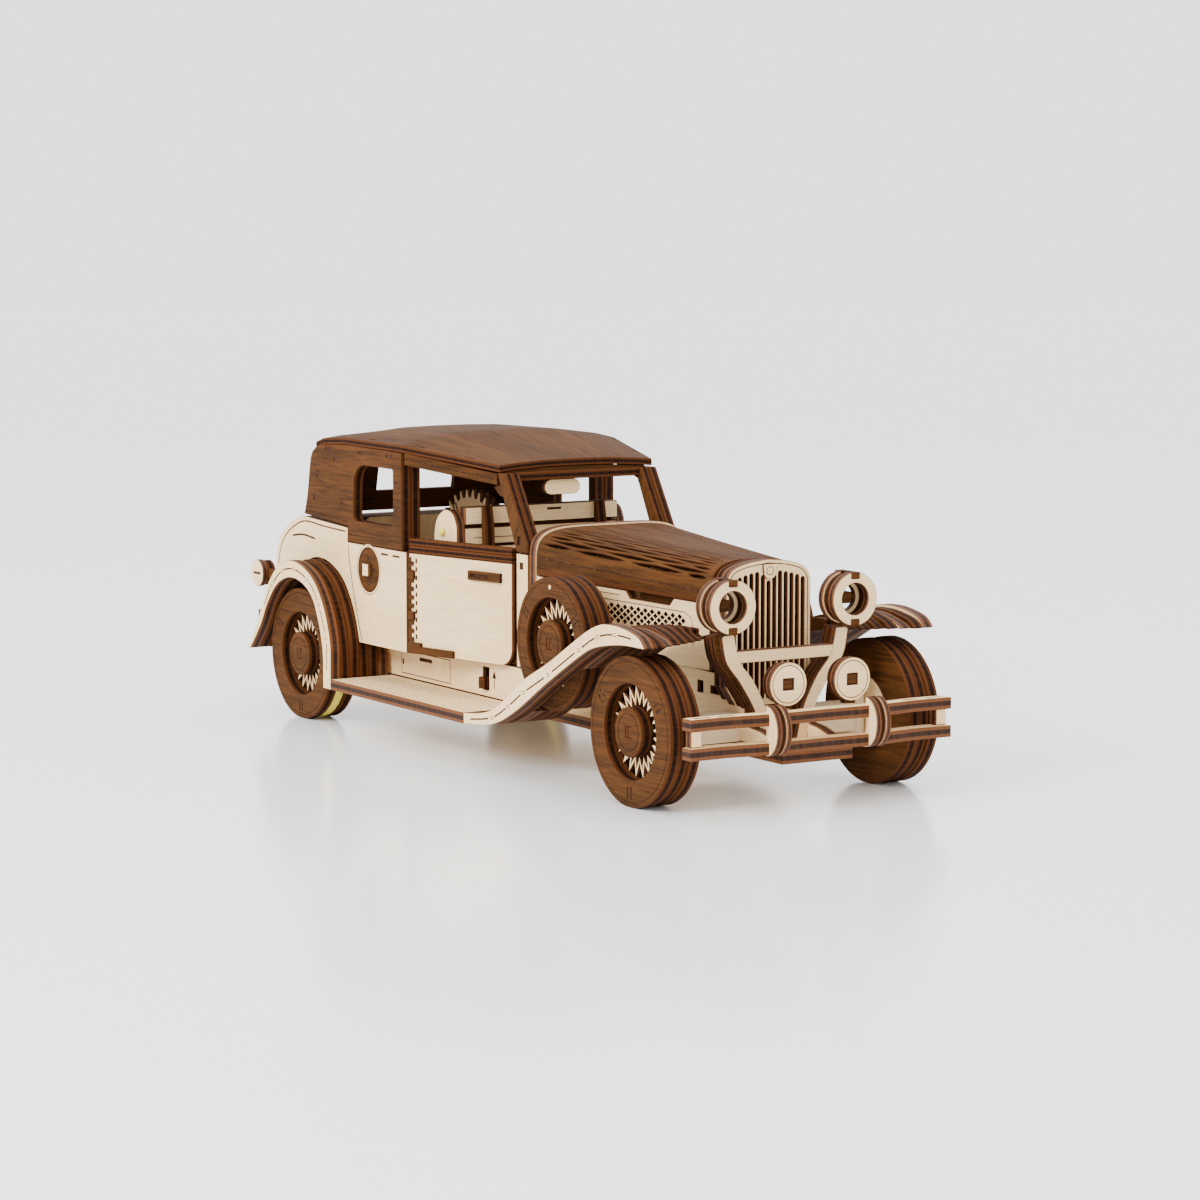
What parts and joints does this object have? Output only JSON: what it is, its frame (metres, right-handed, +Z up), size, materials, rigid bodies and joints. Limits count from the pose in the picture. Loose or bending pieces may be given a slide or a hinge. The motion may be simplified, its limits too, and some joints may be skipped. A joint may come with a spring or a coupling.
{
  "type": "plywood model car kit",
  "caption": "Assembled laser-cut plywood construction kit of a 1930s saloon car, in plain and dark-stained wood, with steering, opening doors and hood, and a winding motor.",
  "frame": {"origin": "on the ground under the middle of the car, halfway between the faces of the two bumpers", "axes": "+X forward to the grille, +Y to the car's left, +Z up"},
  "size_m": [0.34, 0.1156, 0.1133],
  "materials": {
    "birch_ply": "unvarnished birch plywood, fine grain, laser-browned cut edges",
    "stained_ply": "dark-stained birch plywood, matt, with reddish layered edges",
    "dowel": "plain turned dowel",
    "elastic": "thin yellow elastic band"
  },
  "bodies": {
    "root": {"chassis_plate": "birch_ply", "sill_left": "birch_ply", "sill_right": "birch_ply", "running_board_left": "birch_ply", "running_board_right": "birch_ply", "quarter_panel_left": "birch_ply", "quarter_panel_right": "birch_ply", "trunk_skin": "birch_ply", "hood_side_left": "birch_ply", "hood_side_right": "birch_ply", "scuttle_arch": "birch_ply", "scuttle_post_left": "birch_ply", "scuttle_post_right": "birch_ply", "grille_shell": "birch_ply", "lamp_bracket": "birch_ply", "headlamp_left": "birch_ply", "headlamp_right": "birch_ply", "fog_lamp_left": "birch_ply", "fog_lamp_right": "birch_ply", "front_bumper": "birch_ply", "rear_bumper": "birch_ply", "tail_lamp_left": "birch_ply", "tail_lamp_right": "birch_ply", "front_seat": "birch_ply", "rear_seat": "birch_ply", "dashboard": "birch_ply", "front_axle_beam": "birch_ply", "front_fender_left": "stained_ply", "front_fender_right": "stained_ply", "rear_fender_left": "stained_ply", "rear_fender_right": "stained_ply", "roof_quarter_left": "stained_ply", "roof_quarter_right": "stained_ply", "rear_window_panel": "stained_ply", "windshield_frame": "stained_ply", "roof_rail_left": "stained_ply", "roof_rail_right": "stained_ply", "roof_panel": "stained_ply", "hood_crown": "stained_ply", "grille_core": "stained_ply", "spare_wheel_left": "stained_ply", "spare_wheel_right": "stained_ply"},
    "drive_axle": {"rear_axle": "dowel", "rear_wheel_left": "stained_ply", "rear_wheel_right": "stained_ply", "traction_band_left": "elastic", "traction_band_right": "elastic"},
    "idler": {"idler_gear": "stained_ply"},
    "winder": {"winding_gear": "birch_ply"},
    "knuckle_left": {"knuckle_left": "birch_ply"},
    "knuckle_right": {"knuckle_right": "birch_ply"},
    "front_wheel_left": {"front_wheel_left": "stained_ply"},
    "front_wheel_right": {"front_wheel_right": "stained_ply"},
    "tie_rod": {"tie_rod": "birch_ply"},
    "steering_wheel": {"steering_wheel": "stained_ply"},
    "door_left": {"door_left": "birch_ply"},
    "door_right": {"door_right": "birch_ply"},
    "hood_flank_left": {"hood_flank_left": "stained_ply"},
    "hood_flank_right": {"hood_flank_right": "stained_ply"},
    "stop_lever": {"stop_lever": "stained_ply"}
  },
  "joints": [
    {"name": "rear_axle_spin", "type": "hinge", "parent": "root", "child": "drive_axle", "pos_m": [-0.1095, 0, 0.025], "axis": [0, 1, 0], "continuous": true},
    {"name": "idler_spin", "type": "hinge", "parent": "root", "child": "idler", "pos_m": [-0.0896, 0, 0.0317], "axis": [0, 1, 0], "continuous": true},
    {"name": "winder_spin", "type": "hinge", "parent": "root", "child": "winder", "pos_m": [-0.06798, 0, 0.06049], "axis": [0, 1, 0], "continuous": true},
    {"name": "steer_left", "type": "hinge", "parent": "root", "child": "knuckle_left", "pos_m": [0.1295, 0.0368, 0.025], "axis": [0, 0, 1], "range_deg": [-15, 15]},
    {"name": "steer_right", "type": "hinge", "parent": "root", "child": "knuckle_right", "pos_m": [0.1295, -0.0368, 0.025], "axis": [0, 0, 1], "range_deg": [-15, 15]},
    {"name": "front_wheel_spin_left", "type": "hinge", "parent": "knuckle_left", "child": "front_wheel_left", "pos_m": [0.1295, 0.0476, 0.025], "axis": [0, 1, 0], "continuous": true},
    {"name": "front_wheel_spin_right", "type": "hinge", "parent": "knuckle_right", "child": "front_wheel_right", "pos_m": [0.1295, -0.0476, 0.025], "axis": [0, 1, 0], "continuous": true},
    {"name": "tie_rod_slide", "type": "slide", "parent": "root", "child": "tie_rod", "axis": [0, 1, 0], "range_m": [-0.0032, 0.0032]},
    {"name": "steering_wheel_turn", "type": "hinge", "parent": "root", "child": "steering_wheel", "pos_m": [0.0026, 0.013, 0.0683], "axis": [-0.9063, 0, 0.4226], "range_deg": [-60.5, 60.5]},
    {"name": "door_left_swing", "type": "hinge", "parent": "root", "child": "door_left", "pos_m": [-0.0377, 0.0458, 0.05], "axis": [0, 0, 1], "range_deg": [0, 65]},
    {"name": "door_right_swing", "type": "hinge", "parent": "root", "child": "door_right", "pos_m": [-0.0377, -0.0458, 0.05], "axis": [0, 0, -1], "range_deg": [0, 65]},
    {"name": "hood_flank_left_lift", "type": "hinge", "parent": "root", "child": "hood_flank_left", "pos_m": [0.0303, 0.00915, 0.08299], "axis": [0.9982, -0.038, -0.047], "range_deg": [0, 50]},
    {"name": "hood_flank_right_lift", "type": "hinge", "parent": "root", "child": "hood_flank_right", "pos_m": [0.0303, -0.00915, 0.08299], "axis": [-0.9982, -0.038, 0.047], "range_deg": [0, 50]},
    {"name": "stop_lever_slide", "type": "slide", "parent": "root", "child": "stop_lever", "axis": [0, 0, 1], "range_m": [0, 0.0026]}
  ],
  "couplings": [
    {"joint": "idler_spin", "follows": "rear_axle_spin", "ratio": -1.3333},
    {"joint": "winder_spin", "follows": "rear_axle_spin", "ratio": 0.44444},
    {"joint": "steer_right", "follows": "steer_left", "ratio": 1},
    {"joint": "tie_rod_slide", "follows": "steer_left", "m_per_rad": -0.012},
    {"joint": "steering_wheel_turn", "follows": "steer_left", "ratio": 4}
  ]
}
